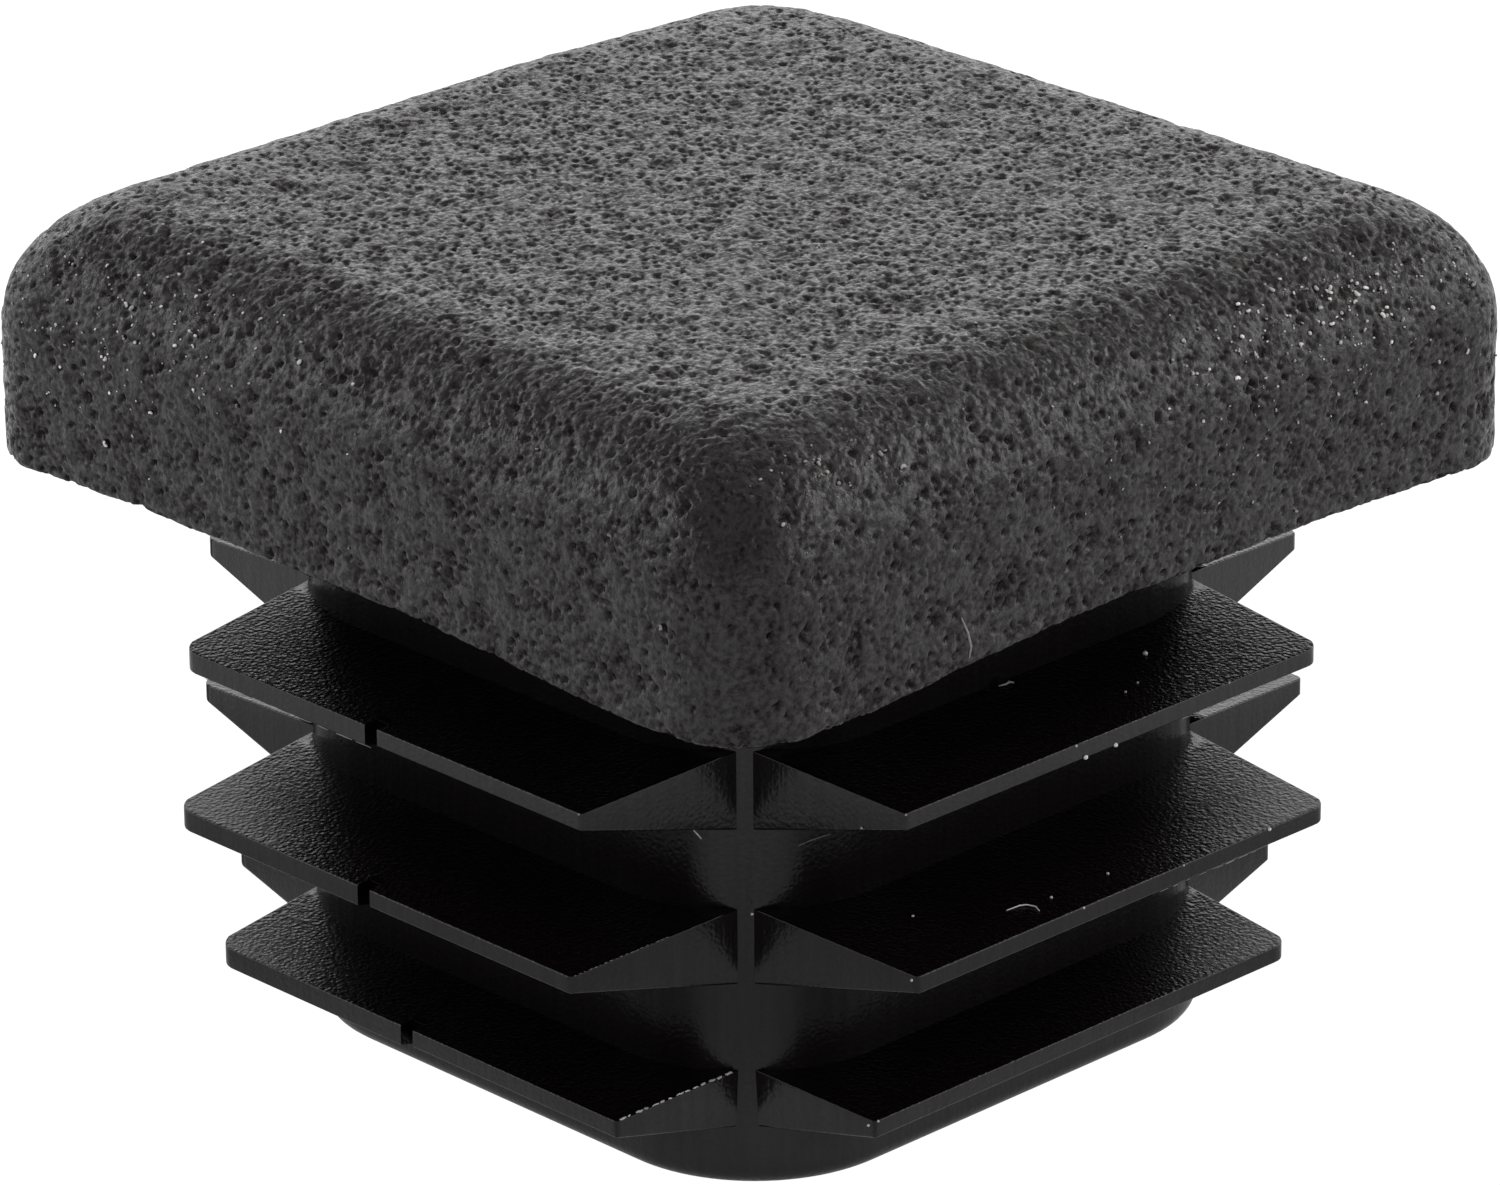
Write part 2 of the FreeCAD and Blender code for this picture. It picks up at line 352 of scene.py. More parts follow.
# pitch, width, salt and height of each field, in mm but for the salt
WAVES = (0.45, 0.195, 57, 0.060)
DIPS = (0.85, 0.38, 29, 0.045)
PITS = (
    # the same, and the roundness of the ridges in mm
    (0.20, 0.080, 11, 0.125, 0.085),
    (0.13, 0.052, 83, 0.060, 0.10),
)
GRAIN_MIDDLE = 0.068
GRAIN_REACH = 0.090
STEEPEST = 1.4
print("the grain is never deeper than", 2 * GRAIN_REACH, "mm")


def mould_grain(points):
    """Depth of the eroded skin below the drawn surface in mm, never above it, and its
    slope. Slow waves and shallow dips carry two sets of pits. Each set is minus the size of
    a field that swings about nothing, so its zero lines stand up as narrow ridges round
    hollows of all shapes. A hyperbolic tangent keeps the sum between nothing and twice
    GRAIN_REACH, and very steep slopes are eased, so that no face turns away from the eye."""
    pitch, width, salt, height = WAVES
    total, slope = bells(points, pitch, width, salt, -height, height)
    pitch, width, salt, height = DIPS
    dips, dip_slope = bells(points, pitch, width, salt, 0.0, -height)
    total += dips + GRAIN_MIDDLE
    slope += dip_slope
    for pitch, width, salt, height, roundness in PITS:
        field, rise = bells(points, pitch, width, salt, -1.0, 1.0)
        size = np.sqrt(field**2 + roundness**2)
        total -= height * (size - roundness)
        slope -= (height * field / size)[:, None] * rise
    bent = np.tanh(total / GRAIN_REACH)
    slope *= (1.0 - bent**2)[:, None]
    steep = np.linalg.norm(slope, axis=1)[:, None]
    return GRAIN_REACH * (bent - 1.0), slope / np.sqrt(1 + (steep / STEEPEST) ** 2)


# %% [markdown]
# ## The skin of the head
# Every level of the head is a square with rounded corners. Going down from the middle of
# the top, the square grows, then follows the long round at the edge of the top, and then
# the upright side. Each side of the square is walked from the middle of one corner to
# the middle of the next, so one pair of numbers, the level and the walk, names any place.


# %% Rounded square and head profile
def rounded_square(half, corner, side, walk):
    """Place and outward direction on a square of half width and corner radius. side counts
    the four sides, walk goes from 0 to 1 along one: half a corner arc, the straight, and
    half a corner arc, at an even pace."""
    arc = corner * math.pi / 4
    straight = 2 * (half - corner)
    run = walk * (2 * arc + straight)
    beyond = np.where(run > arc + straight, run - arc - straight, 0.0)
    angle = np.where(run < arc, run - arc, beyond) / np.maximum(corner, 1e-9)
    along = np.clip(run - arc, 0.0, straight) - straight / 2 + corner * np.sin(angle)
    out = half - corner + corner * np.cos(angle)
    turn = side * (math.pi / 2)
    facing = turn + angle
    x = out * np.sin(turn) + along * np.cos(turn)
    y = -out * np.cos(turn) + along * np.sin(turn)
    return np.stack([x, y], axis=-1), np.stack([np.sin(facing), -np.cos(facing)], axis=-1)


FLAT = HEAD_HALF - TOP_ROUND
QUARTER = TOP_ROUND * math.pi / 2
SIDE_RUN = HEAD_TOP - TOP_ROUND - SEAT - RIM_ROUND
RIM_RUN = RIM_ROUND * math.pi / 2
RIM = FLAT + QUARTER + SIDE_RUN
print("from the middle of the top to the rim is", round(RIM + RIM_RUN, 2), "mm along the skin")


def head_profile(level):
    """Half width, height, slant and corner radius at a distance level from the middle of
    the top: flat, quarter round, upright side, small round at the rim, and underside."""
    over = np.clip((level - FLAT) / TOP_ROUND, 0.0, math.pi / 2)
    under = np.clip((level - FLAT - QUARTER - SIDE_RUN) / RIM_ROUND, 0.0, math.pi / 2)
    inward = np.maximum(level - FLAT - QUARTER - SIDE_RUN - RIM_RUN, 0.0)
    down = np.clip(level - FLAT - QUARTER, 0.0, SIDE_RUN)
    tucked = RIM_ROUND * (1 - np.cos(under))
    half = np.minimum(level, FLAT) + TOP_ROUND * np.sin(over) - tucked - inward
    height = HEAD_TOP - TOP_ROUND * (1 - np.cos(over)) - down - RIM_ROUND * np.sin(under)
    inset = np.clip(HEAD_HALF - half, 0.0, TOP_ROUND)
    corner = np.minimum(HEAD_CORNER - 0.24 * inset, half * 0.98)
    return half, height, over + under, corner


def ease(value, start, stop):
    """0 before start, 1 after stop, and a smooth step 3t^2 - 2t^3 in between."""
    share = np.clip((value - start) / (stop - start), 0.0, 1.0)
    return share * share * (3 - 2 * share)


def corner_droop(base):
    """How far the head sinks below its drawn shape, because it cooled unevenly: its rim
    hangs low at the front, right and left corners, nothing above the middle of the head,
    and one edge of the top dips towards the back corner."""
    x, y, z = base.T
    low = ease(z, 17.2, 14.4)
    front = 0.39 * ease(np.maximum(x, y), -1.5, -9.5)
    right = 0.21 * ease(x - y, 17.5, 24.0)
    left = 0.14 * ease(y - x, 18.5, 24.0)
    dip = 0.19 * ease(x, 2.0, 10.0) * ease(y, 6.5, 11.0) * ease(z, 14.5, 17.5)
    return low * (front + right + left) + dip


def head_skin(level, side, walk):
    """Places and directions of the grained skin, for arrays of one shape."""
    half, height, slant, corner = head_profile(level)
    place, facing = rounded_square(half, corner, side, walk)
    base = np.concatenate([place, height[..., None]], axis=-1).reshape(-1, 3)
    normal = np.concatenate([facing * np.sin(slant)[..., None], np.cos(slant)[..., None]], axis=-1)
    normal = normal.reshape(-1, 3)
    depth, slope = mould_grain(base)
    under = (level - FLAT - QUARTER - SIDE_RUN - RIM_RUN).reshape(-1)
    fade = np.clip(1.0 - under / 0.9, 0.0, 1.0)
    base[:, 2] -= corner_droop(base)
    slope -= (slope * normal).sum(axis=1)[:, None] * normal
    tilted = normal - slope * fade[:, None]
    tilted /= np.linalg.norm(tilted, axis=1)[:, None]
    return base + normal * (depth * fade)[:, None], tilted, depth * fade


# %% [markdown]
# ## From grids to closed pieces
# A grid of points becomes quads. Its open edge turns into the plastic as a hem, and a fan
# of triangles closes the hem at one point inside, where nobody sees it. A fan alone would
# show through the deepest pits near the edge. Each point's normal is the mean of the faces
# round it, which suits grain as fine as the cells. Only the points on the edge keep the
# normal that the formula gives, so that neighbouring pieces agree there and no seam shows.


# %% Mesh helpers
def grid_faces(rows, columns):
    """Four corners of each cell of a grid whose points are numbered row by row."""
    number = np.arange(rows * columns).reshape(rows, columns)
    cells = [number[:-1, :-1], number[:-1, 1:], number[1:, 1:], number[1:, :-1]]
    return np.stack(cells, axis=-1).reshape(-1, 4)


def tube_faces(rows, columns):
    """Quads round a tube of rings that are numbered one by one, and a fan at each end to a
    point: the two points that come after the last ring."""
    number = np.arange(rows * columns).reshape(rows, columns)
    ahead = np.roll(number, -1, axis=1)
    quads = np.stack([number[:-1], ahead[:-1], ahead[1:], number[1:]], axis=-1).reshape(-1, 4)
    first = np.stack([ahead[0], number[0], np.full(columns, rows * columns)], axis=-1)
    last = np.stack([number[-1], ahead[-1], np.full(columns, rows * columns + 1)], axis=-1)
    return quads, np.concatenate([first, last])


def add_piece(name, points, quads, triangles, normals, finish, depth):
    """One mesh object from arrays in mm, with the given normals, riding on the plug. depth
    is a number for each point, which the finish reads."""
    mesh = bpy.data.meshes.new(name)
    corners = np.concatenate([quads.reshape(-1), triangles.reshape(-1)]).astype(np.int32)
    sizes = np.concatenate([np.full(len(quads), 4), np.full(len(triangles), 3)])
    starts = np.concatenate([[0], np.cumsum(sizes)[:-1]]).astype(np.int32)
    mesh.vertices.add(len(points))
    mesh.vertices.foreach_set("co", (points / 1000.0).astype(np.float32).reshape(-1))
    mesh.loops.add(len(corners))
    mesh.loops.foreach_set("vertex_index", corners)
    mesh.polygons.add(len(sizes))
    mesh.polygons.foreach_set("loop_start", starts)
    mesh.update(calc_edges=True)
    mesh.validate()
    mesh.shade_smooth()
    mesh.normals_split_custom_set_from_vertices(normals.astype(np.float32).tolist())
    store = mesh.attributes.new("depth", "FLOAT", "POINT")
    store.data.foreach_set("value", depth.astype(np.float32))
    mesh.materials.append(finish)
    piece = bpy.data.objects.new(name, mesh)
    bpy.context.scene.collection.objects.link(piece)
    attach(piece, "root")
    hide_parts("plug")
    print(name, "has", len(quads) * 2 + len(triangles), "triangles")


NO_QUADS = np.zeros((0, 4), int)


def area_normals(points, faces):
    """At each point, the sum of the cross products of its faces, scaled to length one."""
    total = np.zeros(points.shape)
    for first in range(1, faces.shape[1] - 1):
        a, b, c = (points[faces[:, index]] for index in (0, first, first + 1))
        face_normal = np.cross(b - a, c - a)
        for index in range(faces.shape[1]):
            np.add.at(total, faces[:, index], face_normal)
    return total / np.maximum(np.linalg.norm(total, axis=1), 1e-12)[:, None]


HEM = 0.5


def patch(name, points, normals, depth, apex, finish):
    """Piece from a grid of places: its quads, a hem that turns straight into the plastic
    all round, deeper than any pit, and a fan from the hem to the apex. Its points take the
    mean direction of their faces, but those on the edge keep the given one, so that they
    agree with the next piece."""
    rows, columns = points.shape[:2]
    points, normals = points.reshape(-1, 3), normals.reshape(-1, 3)
    number = np.arange(rows * columns).reshape(rows, columns)
    rim = np.concatenate([number[0, :-1], number[:-1, -1], number[-1, :0:-1], number[:0:-1, 0]])
    hem = rows * columns + np.arange(len(rim))
    skirt = np.stack([np.roll(rim, -1), rim, hem, np.roll(hem, -1)], axis=-1)
    fan = np.stack([np.roll(hem, -1), hem, np.full(len(rim), hem[-1] + 1)], axis=-1)
    quads = grid_faces(rows, columns)
    a, b, c = (points[quads[:, index]] for index in range(3))
    if (np.cross(b - a, c - a) * normals[quads[:, 0]]).sum() < 0:
        quads, skirt, fan = quads[:, ::-1], skirt[:, ::-1], fan[:, ::-1]
    means = area_normals(points, quads)
    means[rim] = normals[rim]
    all_points = np.concatenate([points, points[rim] - HEM * normals[rim], [apex]])
    all_normals = np.concatenate([means, normals[rim], [(0.0, 0.0, -1.0)]])
    all_depth = np.concatenate([depth.reshape(-1), 0.0 * rim, [0.0]])
    quads = np.concatenate([quads, skirt])
    add_piece(name, all_points, quads, fan, all_normals, finish, all_depth)


# %% [markdown]
# ## Black plastic
# The colour of the plastic is close to black, with a trace of warmth. What makes it look like plastic is
# the gloss: fairly smooth skin with a fine unevenness. In the pits and in fine specks a near-black diffuse
# face is mixed in, which is painted shade for the light that the pits swallow. The head's own pits are in
# its mesh, so its finish reads their depth from the mesh.


# %% Finish of the head
def head_finish():
    """Glossy black skin. Where the stored depth is large, and in fine specks everywhere, a near-black
    diffuse face is mixed in as painted shade for the light that the pits swallow. On upright faces the
    painted shade is stronger in the pits and weaker between them."""
    plastic = bpy.data.materials.new("grained_black_plastic")
    nodes = Nodes(plastic)
    place = nodes.add("ShaderNodeTexCoord", output="Object")
    depth = nodes.add("ShaderNodeAttribute", {"attribute_name": "depth"}, output="Fac")
    fine = nodes.add("ShaderNodeTexNoise", values={"Vector": place, "Scale": 14000.0, "Detail": 3.0})
    speckle = {"Vector": place, "Scale": 7500.0, "Detail": 3.0, "Roughness": 0.6}
    specks = nodes.add("ShaderNodeTexNoise", values=speckle)
    cloud = nodes.add("ShaderNodeTexNoise", values={"Vector": place, "Scale": 260.0, "Detail": 4.0})
    pit = (depth * -1.0).between(0.04, 0.15)
    tones = {0: cloud, 6: (0.0050, 0.0022, 0.0026, 1.0), 7: (0.0075, 0.0048, 0.0050, 1.0)}
    tone = nodes.add("ShaderNodeMix", {"data_type": "RGBA"}, tones, output=2)
    rough = 0.14 + 0.08 * fine
    bumps = {"Strength": 0.8, "Distance": 0.000022, "Height": fine + specks * 0.6}
    relief = nodes.add("ShaderNodeBump", values=bumps)
    skin = nodes.add(
        "ShaderNodeBsdfPrincipled",
        values={"Base Color": tone, "Roughness": rough, "IOR": 1.56, "Normal": relief},
    )
    painted_shade_black = nodes.add("ShaderNodeBsdfDiffuse", values={"Color": (0.008, 0.0055, 0.0053, 1.0)})
    facing = nodes.add("ShaderNodeNewGeometry", output="Normal")
    upright = nodes.add("ShaderNodeSeparateXYZ", values={0: facing}, output="Z")
    side = 1.0 - upright.between(0.25, 0.75)
    # painted shade: a near-black diffuse face mixed in by pit depth, by fine specks and by how upright the
    # face is
    painted_shade_and_mottle = 0.14 - side * 0.10 + pit * (0.24 + side * 0.42) + specks.between(0.38, 0.66) * 0.60
    painted_shade_and_mottle = painted_shade_and_mottle.smaller(0.88).larger(0.0)
    mixed = nodes.add("ShaderNodeMixShader", values={0: painted_shade_and_mottle, 1: skin, 2: painted_shade_black})
    nodes.show("ShaderNodeOutputMaterial", mixed)
    return plastic


grained = head_finish()

# %% [markdown]
# ## Smoother black plastic
# The fins and the stem came off smoother steel, so a bump is enough for their grain. Steel that slides
# along plastic leaves faint upright marks, so a noise that is stretched upwards makes the bump on upright
# faces. Deep between the fins hardly any light returns, so a near-black diffuse face is mixed in there as
# painted shade. The mesh stores where.


# %% Finish of the fins and the stem
def stem_finish():
    """The same plastic, off smoother steel: grain as bump, and faint upright draw marks on
    the upright faces."""
    plastic = bpy.data.materials.new("moulded_black_plastic")
    nodes = Nodes(plastic)
    place = nodes.add("ShaderNodeTexCoord", output="Object")
    facing = nodes.add("ShaderNodeNewGeometry", output="Normal")
    upright = nodes.add("ShaderNodeSeparateXYZ", values={0: facing}, output="Z")
    level = upright.math("ABSOLUTE", upright).between(0.35, 0.7)
    deep = nodes.add("ShaderNodeAttribute", {"attribute_name": "depth"}, output="Fac")
    cells = {"Vector": place, "Scale": 11000.0}
    spots = nodes.add("ShaderNodeTexVoronoi", {"feature": "SMOOTH_F1"}, cells)
    fine = nodes.add("ShaderNodeTexNoise", values={"Vector": place, "Scale": 11000.0, "Detail": 3.0})
    drawn = nodes.add("ShaderNodeMapping", values={"Vector": place, "Scale": (1.0, 1.0, 0.05)})
    marks = nodes.add("ShaderNodeTexNoise", values={"Vector": drawn, "Scale": 6000.0, "Detail": 2.0})
    cloud = nodes.add("ShaderNodeTexNoise", values={"Vector": place, "Scale": 300.0, "Detail": 4.0})
    tones = {0: cloud, 6: (0.0020, 0.0009, 0.0010, 1.0), 7: (0.0036, 0.0019, 0.0021, 1.0)}
    tone = nodes.add("ShaderNodeMix", {"data_type": "RGBA"}, tones, output=2)
    swell = level * spots * 1.2 + (1.0 - level) * (marks * 0.35 + spots * 0.30) + fine * 0.25
    rough = 0.16 + 0.10 * fine + 0.04 * level
    relief = nodes.add("ShaderNodeBump", values={"Strength": 0.8, "Distance": 0.000018, "Height": swell})
    skin = nodes.add(
        "ShaderNodeBsdfPrincipled",
        values={"Base Color": tone, "Roughness": rough, "IOR": 1.5, "Normal": relief},
    )
    painted_shade_black = nodes.add("ShaderNodeBsdfDiffuse", values={"Color": (0.0022, 0.0012, 0.0013, 1.0)})
    # painted shade: near black deep between the fins, where the mesh stores depth, with a mottle from the
    # grain and draw marks
    painted_shade_and_mottle = (0.06 + 0.22 * fine + 0.22 * marks + 0.40 * deep).smaller(0.95)
    mixed = nodes.add("ShaderNodeMixShader", values={0: painted_shade_and_mottle, 1: skin, 2: painted_shade_black})
    nodes.show("ShaderNodeOutputMaterial", mixed)
    return plastic


smooth = stem_finish()

# %% [markdown]
# ## The head
# The top is one square grid, bent so that each square ring of its cells lies on one level.
# It is cut in four, and the sides in four, because a piece with more than two hundred
# thousand triangles would be too heavy. The seam runs along the round, where the stored
# normals of both sides are the same.

# %% Top of the head
SEAM = FLAT + 0.42 * QUARTER


def head_top():
    """Square grid of 2n by 2n cells: the larger of the two counts from the middle is the
    level, and the other one, as a share of it, is the walk along the side."""
    reach = CELLS // 2
    count = np.arange(-reach, reach + 1)
    across, up = np.meshgrid(count, count, indexing="xy")
    ring = np.maximum(np.abs(across), np.abs(up))
    side = np.where(up == -ring, 0, np.where(across == ring, 1, np.where(up == ring, 2, 3)))
    steps = np.where(side == 0, across, np.where(side == 1, up, np.where(side == 2, -across, -up)))
    walk = np.where(ring > 0, (steps + ring) / np.maximum(2 * ring, 1), 0.5)
    return head_skin(SEAM * ring / reach, side, walk)


top_shape = (CELLS + 1, CELLS + 1, -1)
top_places, top_normals, top_depth = (part.reshape(top_shape) for part in head_top())
middle = CELLS // 2
for name, rows, columns in (
    ("head_top_front", slice(0, middle + 1), slice(0, middle + 1)),
    ("head_top_right", slice(0, middle + 1), slice(middle, None)),
    ("head_top_back", slice(middle, None), slice(middle, None)),
    ("head_top_left", slice(middle, None), slice(0, middle + 1)),
):
    places = top_places[rows, columns]
    apex = np.array([places[..., 0].mean(), places[..., 1].mean(), 18.2])
    patch(name, places, top_normals[rows, columns], top_depth[rows, columns], apex, grained)

# %% [markdown]
# ## The sides of the head
# Each side is one grid of levels by walks. It starts at the seam on the round, goes down
# the upright face and round the small rim, and runs inwards under the head as far as the
# stem, so the head is closed below. The grain fades out under the head.

# %% Sides and underside of the head
skin_rows = CELLS * 6 // 22
levels = np.concatenate([
    np.linspace(SEAM, RIM, skin_rows),
    RIM + RIM_RUN * np.array([0.2, 0.4, 0.6, 0.8, 1.0]),
    RIM + RIM_RUN + np.array([0.07, 0.15, 0.3, 0.5, 0.9, 2.0, 3.5, 4.9]),
])
walks = np.linspace(0.0, 1.0, CELLS + 1)
level_grid, walk_grid = np.meshgrid(levels, walks, indexing="ij")
for side, name in enumerate(("front_right", "back_right", "back_left", "front_left")):
    skin = head_skin(level_grid, np.full(level_grid.shape, side), walk_grid)
    places, normals, depth = (part.reshape(*level_grid.shape, -1) for part in skin)
    facing = np.array([math.sin(side * math.pi / 2), -math.cos(side * math.pi / 2)])
    apex = np.append(facing * 10.0, 15.5)
    patch("head_side_" + name, places, normals, depth, apex, grained)

# %% [markdown]
# ## The stem
# Under the head stands a hollow square stem with well-rounded corners. Its wall is a
# profile carried round the rounded square: the roof of the hollow, the drafted inner wall,
# the lip, the lead-in, the outer wall and the small fillet under the head. The normals are
# averaged by the area of the faces, so flat faces stay flat and small rounds carry the
# turn.


# %% Normals and stem
def arc(centre, radius, start, stop, count):
    """Points on a circle in the profile plane, angles in degrees from outward to up."""
    angles = np.radians(np.linspace(start, stop, count))
    return np.stack([centre[0] + radius * np.cos(angles), centre[1] + radius * np.sin(angles)], axis=-1)


def outward(points, faces):
    """The faces turned round if the volume they enclose is negative."""
    a, b, c = (points[faces[:, index]] for index in range(3))
    if (np.cross(a, b) * c).sum() < 0:
        return faces[:, ::-1]
    return faces


def as_triangles(quads):
    """Two triangles for each quad."""
    return np.concatenate([quads[:, [0, 1, 2]], quads[:, [0, 2, 3]]])


INNER_HALF = STEM_HALF - WALL
roof_half = INNER_HALF - ROOF * DRAFT
stem_profile = np.concatenate([
    [[2.0, ROOF], [4.0, ROOF]],
    arc((roof_half - 0.3, ROOF - 0.3), 0.3, 90, 0, 5),
    [[INNER_HALF - height * DRAFT, height] for height in (14.0, 11.0, 8.0, 5.0, 2.0, 0.5)],
    arc((INNER_HALF + 0.15, 0.15), 0.15, 180, 270, 4),
    arc((STEM_HALF - 0.4, 0.4), 0.4, -90, 0, 7),
    [[STEM_HALF, height] for height in (0.6, 3.0, 5.5, 8.0, 10.5, 13.2)],
    arc((STEM_HALF + 0.3, SEAT - 0.3), 0.3, 180, 90, 6),
    [[8.4, 14.1], [7.4, 17.7], [3.0, 17.7]],
])
stem_out, stem_height = stem_profile.T
stem_corners = np.where(stem_out > INNER_HALF + 0.2, STEM_CORNER + stem_out - STEM_HALF, INNER_CORNER)
stem_corners = np.minimum(stem_corners, stem_out * 0.6)
STEM_COLUMNS = 60
FOOT_SPREAD = 0.010
FOOT_LEAN = np.array([0.115, -0.110])


def stem_shell():
    """Each point of the profile walked round its own rounded square, with a fan at each end of the profile.
    The foot of the stem is a little wider and leans to the right. The stored depth sets the painted shade
    of the finish: it is large at mid side and at the left and right corners as the camera sees them, and
    nothing at the foot."""
    around = np.arange(4 * STEM_COLUMNS)
    side, walk = around // STEM_COLUMNS, (around % STEM_COLUMNS) / STEM_COLUMNS
    half = stem_out[:, None] + 0 * around
    corner = stem_corners[:, None] + 0 * around
    place, _ = rounded_square(half, corner, side[None] + 0 * half, walk[None] + 0 * half)
    height = stem_height[:, None, None] + 0 * place[..., :1]
    points = np.concatenate([place, height], axis=-1).reshape(-1, 3)
    foot = ease(points[:, 2], 3.0, 0.0)[:, None]
    points[:, :2] += foot * (FOOT_SPREAD * points[:, :2] + FOOT_LEAN)
    points = np.concatenate([points, [[0, 0, stem_height[0]], [0, 0, stem_height[-1]]]])
    quads, triangles = tube_faces(len(stem_profile), 4 * STEM_COLUMNS)
    flat = np.concatenate([as_triangles(quads), triangles])
    turned = outward(points, flat)
    if turned is not flat:
        quads, triangles = quads[:, ::-1], triangles[:, ::-1]
    normals = area_normals(points, turned)
    x, y, z = points.T
    # strength of the painted shade on the stem wall
    mid_side = np.clip((6.6 - np.minimum(np.abs(x), np.abs(y))) / 0.8, 0.0, 1.0)
    outer_corner = ease(np.abs(x - y), 12.6, 13.8) * (0.8 + 1.4 * (z > 10.6))
    deep = np.maximum(mid_side, outer_corner) * np.clip((z - 1.6) / 0.5, 0.0, 1.0)
    add_piece("stem_shell", points, quads, triangles, normals, smooth, deep)


stem_shell()

# %% [markdown]
# ## The fins
# Each fin is a wedge, thin at the tip and thicker at the root, that grips the bore of the
# tube. Its section is a four-cornered profile with two rounded tip corners. The section is
# carried along the side, and shrinks round a quarter circle at each end, so every edge has
# a small round that catches the light. On two of the sides the mould was split in the
# middle, which left a slot in the tip and one half a little thicker than the other.


# %% One fin
EDGE = 0.035
SLOT_AT = 0.25
SLOT_HALF = 0.20
SLOT_DEPTH = 0.36
EXTRA = 0.09
MID_REACH = 5.6
# rounds of the two tip corners, seen from above, for the sides -Y, +X, +Y and -X
TIP_ROUNDS = ((0.08, 0.42), (0.20, 0.20), (0.20, 0.55), (0.55, 0.08))


def fin_end(share, place, away, rounding, extra):
    """Rows at the distances away from one end, which stands place from share times the half
    length. The edges follow a quarter circle of radius EDGE, and seen from above the tip
    corner follows one of radius rounding. The sign of away says which way the fin lies."""
    near = np.abs(away)
    edge = np.clip(EDGE - near, 0.0, EDGE)
    plan = np.clip(rounding - near, 0.0, rounding)
    inset = EDGE - np.sqrt(EDGE**2 - edge**2)
    pull = rounding - np.sqrt(rounding**2 - plan**2)
    return np.stack([0.0 * near + share, place + away, inset, pull, extra - 0.25 * pull], axis=-1)


def stretch(start, stop, extra):
    """Plain rows between two places along the fin."""
    along = np.linspace(start, stop, max(int((stop - start) / 0.5), 2))
    return np.stack([0.0 * along, along, 0.0 * along, 0.0 * along, 0.0 * along + extra], axis=-1)


def fin_parts(slot_at, left_round, right_round):
    """Where the section stands along the fin, one row each: share of the half length,
    shift from there, inset of the section, pull back of the tip, and extra thickness. A
    fin without a slot is one part. One with a slot has two halves, of which the one that
    lies towards -Y is thinner, and a short core behind the slot. Very short rows at the
    slot keep its corners crisp."""
    away = np.array([0.0, 0.008, 0.03, 0.06, 0.11, 0.16, 0.24, 0.34, 0.5])
    left = lambda extra: fin_end(-1.0, 0.0, away, left_round, extra)
    right = lambda extra: fin_end(1.0, 0.0, -away[::-1], right_round, extra)
    if not slot_at:
        return [np.concatenate([left(0.0), stretch(-MID_REACH, MID_REACH, 0.0), right(0.0)])]
    low, high = (EXTRA, 0.0) if slot_at < 0 else (0.0, EXTRA)
    before, after = slot_at - SLOT_HALF, slot_at + SLOT_HALF
    ends = (stretch(before - 0.1, before - 0.0995, 0.0), stretch(after + 0.0995, after + 0.1, 0.0))
    core = np.concatenate([ends[0], stretch(before - 0.099, after + 0.099, 0.0), ends[1]])
    core[:, 2], core[:, 3] = 0.004, SLOT_DEPTH
    first = (stretch(-MID_REACH, before - 0.001, low), stretch(before - 0.0005, before, low))
    second = (stretch(after, after + 0.0005, high), stretch(after + 0.001, MID_REACH, high))
    return [np.concatenate([left(low), *first]), np.concatenate([*second, right(high)]), core]


def unit(line):
    """The same direction with length one."""
    return line / np.linalg.norm(line, axis=-1, keepdims=True)


def fin_section(row, inset, pull, extra):
    """Loop of places from the root over the top, round the two tip corners and back below:
    each round keeps its centre, EDGE inside the full section, and has radius EDGE minus
    inset."""
    reach = row["reach"] - pull
    deep = 0.0 * reach + FIN_ROOT_DEPTH
    run = row["reach"] - STEM_HALF
    top = lambda out: row["top"] + (row["reach"] - out) * row["rise"] / run
    low = lambda out: row["top"] - FIN_TIP - extra - (row["reach"] - out) * row["drop"] / run
    four = ((deep, top), (reach, top), (reach, low), (deep, low))
    corners = [np.stack([out, height(out)], axis=-1) for out, height in four]
    edges = [unit(after - before) for before, after in zip(corners[:-1], corners[1:])]
    normals = [np.stack([-edge[..., 1], edge[..., 0]], axis=-1) for edge in edges]
    loop = []
    for corner, first, second in zip(corners[1:3], normals[:2], normals[1:]):
        centre = corner - EDGE * (first + second) / (1 + (first * second).sum(axis=-1, keepdims=True))
        for share in (0.0, 0.25, 0.5, 0.75, 1.0):
            loop.append(centre + (EDGE - inset)[..., None] * unit((1 - share) * first + share * second))
    start = corners[0] - inset[..., None] * normals[0]
    stop = corners[3] - inset[..., None] * normals[2]
    shares = (0.0, 0.2, 0.4, 0.6, 0.8, 0.95)
    loop = [start + share * (loop[0] - start) for share in shares] + loop
    loop += [stop + share * (loop[-1] - stop) for share in shares[::-1]]
    return np.stack(loop, axis=1)


